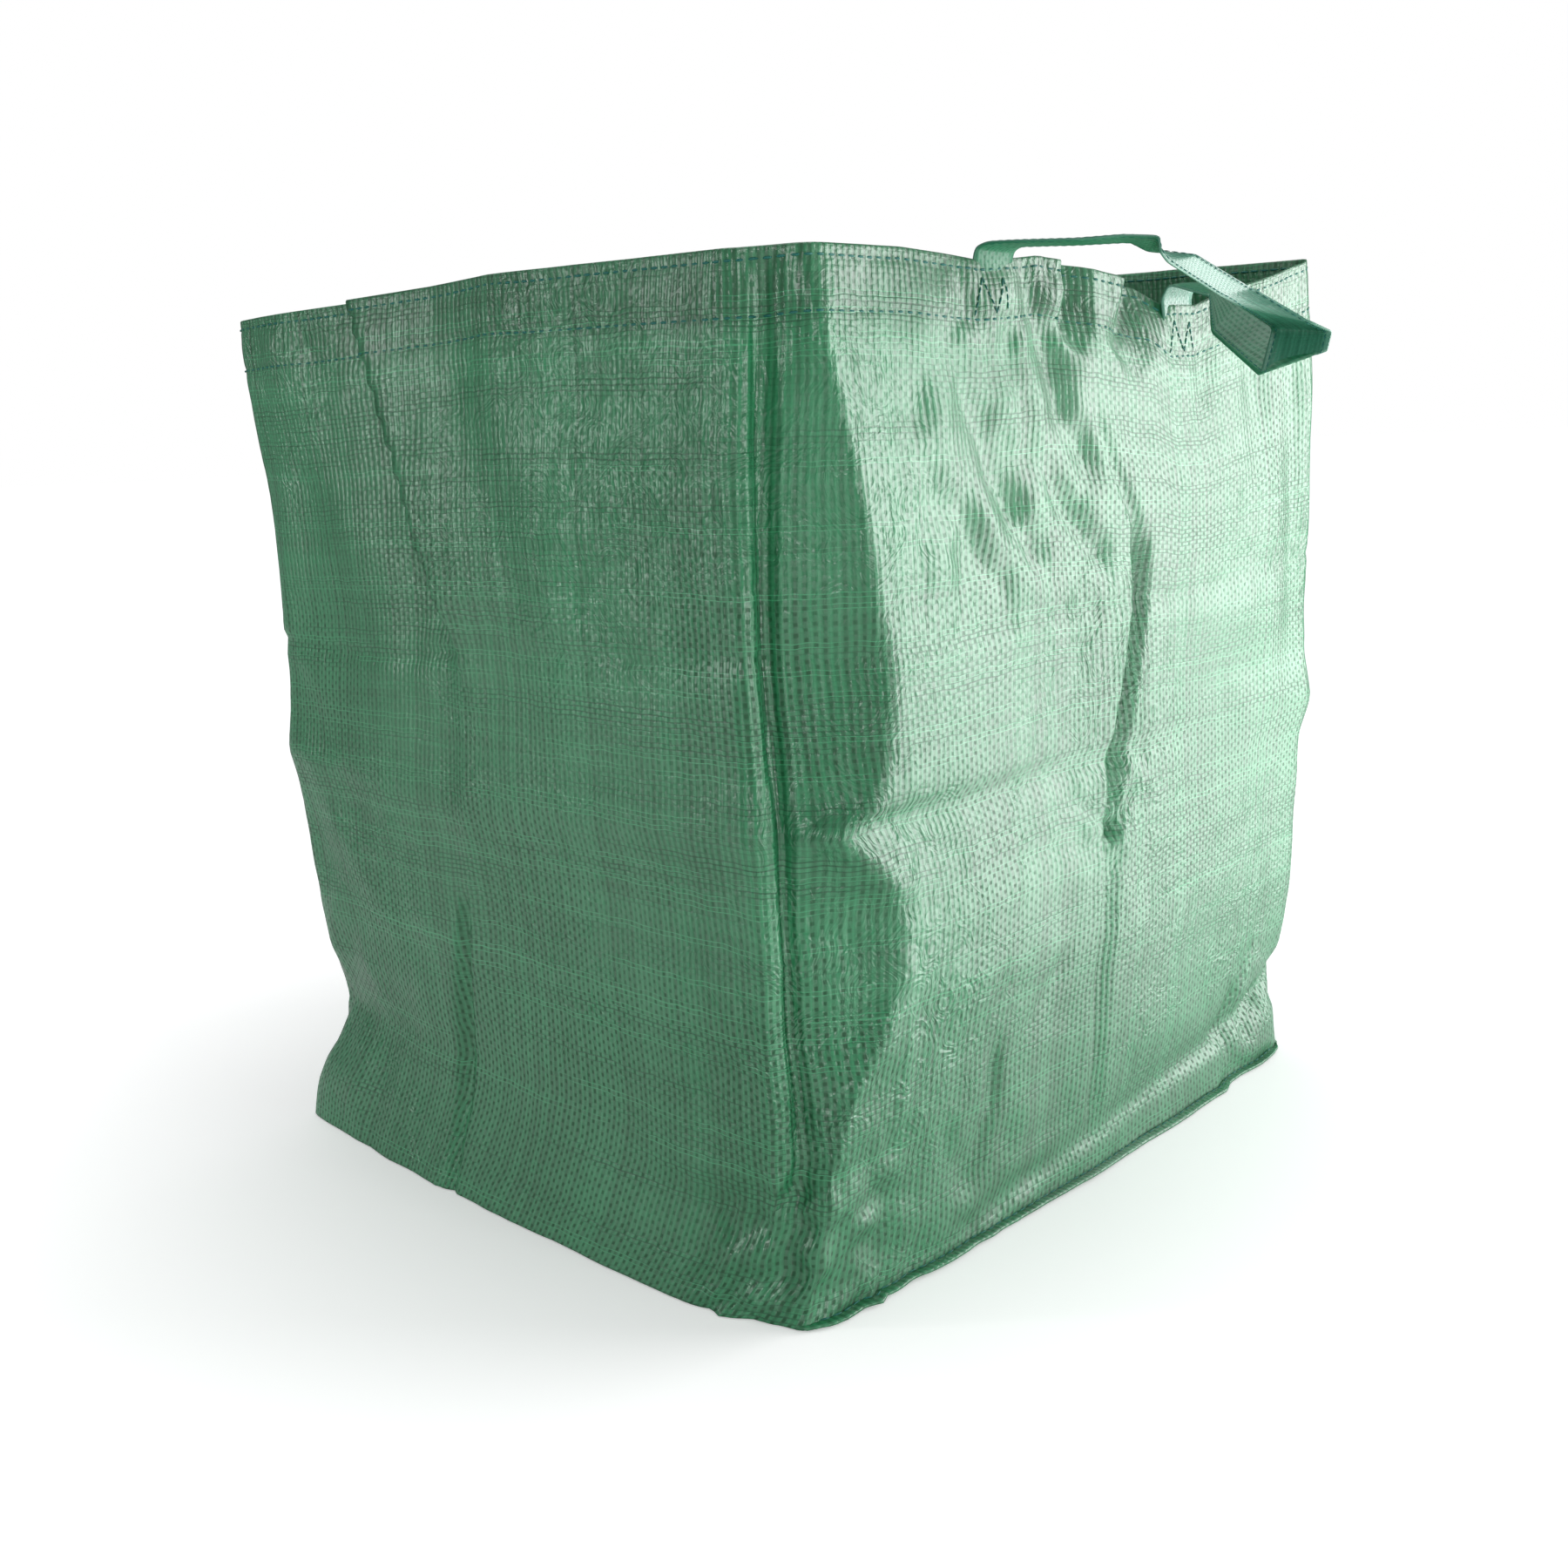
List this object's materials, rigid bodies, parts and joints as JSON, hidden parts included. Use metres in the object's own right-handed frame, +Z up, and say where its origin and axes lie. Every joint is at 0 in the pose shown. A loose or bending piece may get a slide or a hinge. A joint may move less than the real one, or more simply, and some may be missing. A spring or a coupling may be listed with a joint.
{
  "type": "woven fabric storage bag",
  "caption": "Open-topped upright storage bag of green woven plastic tape fabric, with a turned and stitched rim and a loop handle on each long side.",
  "frame": {"origin": "on the ground under the middle of the base", "axes": "+Z up through the open mouth, -Y out of the front face that carries the front handle, +X to the right along that face"},
  "size_m": [0.5818, 0.794, 0.6138],
  "materials": {
    "woven_fabric": "semi-gloss laminated flat-tape weave",
    "hem_fabric": "semi-gloss tape weave, inner side",
    "strap_fabric": "folded tape weave, low gloss",
    "thread": "matt sewing thread"
  },
  "bodies": {
    "bag": {"front_wall": "woven_fabric", "right_wall": "woven_fabric", "back_wall": "woven_fabric", "left_wall": "woven_fabric", "base_panel": "woven_fabric", "front_rim_hem": "hem_fabric", "right_rim_hem": "hem_fabric", "back_rim_hem": "hem_fabric", "left_rim_hem": "hem_fabric", "upper_hem_stitch": "thread", "lower_hem_stitch": "thread", "front_base_seam_lip": "woven_fabric", "front_base_seam_stitch": "thread", "back_base_seam_lip": "woven_fabric", "back_base_seam_stitch": "thread", "front_left_handle_end": "strap_fabric", "front_right_handle_end": "strap_fabric", "back_left_handle_end": "strap_fabric", "back_right_handle_end": "strap_fabric", "front_left_handle_tack": "thread", "front_right_handle_tack": "thread", "back_left_handle_tack": "thread", "back_right_handle_tack": "thread"},
    "front_handle": {"front_handle_strap": "strap_fabric"},
    "back_handle": {"back_handle_strap": "strap_fabric"}
  },
  "joints": [
    {"name": "front_handle_hinge", "type": "hinge", "parent": "bag", "child": "front_handle", "pos_m": [0, -0.2589, 0.604], "axis": [-1, 0, 0], "range_deg": [-40, 130]},
    {"name": "back_handle_hinge", "type": "hinge", "parent": "bag", "child": "back_handle", "pos_m": [0, 0.2589, 0.604], "axis": [1, 0, 0], "range_deg": [-40, 130]}
  ]
}
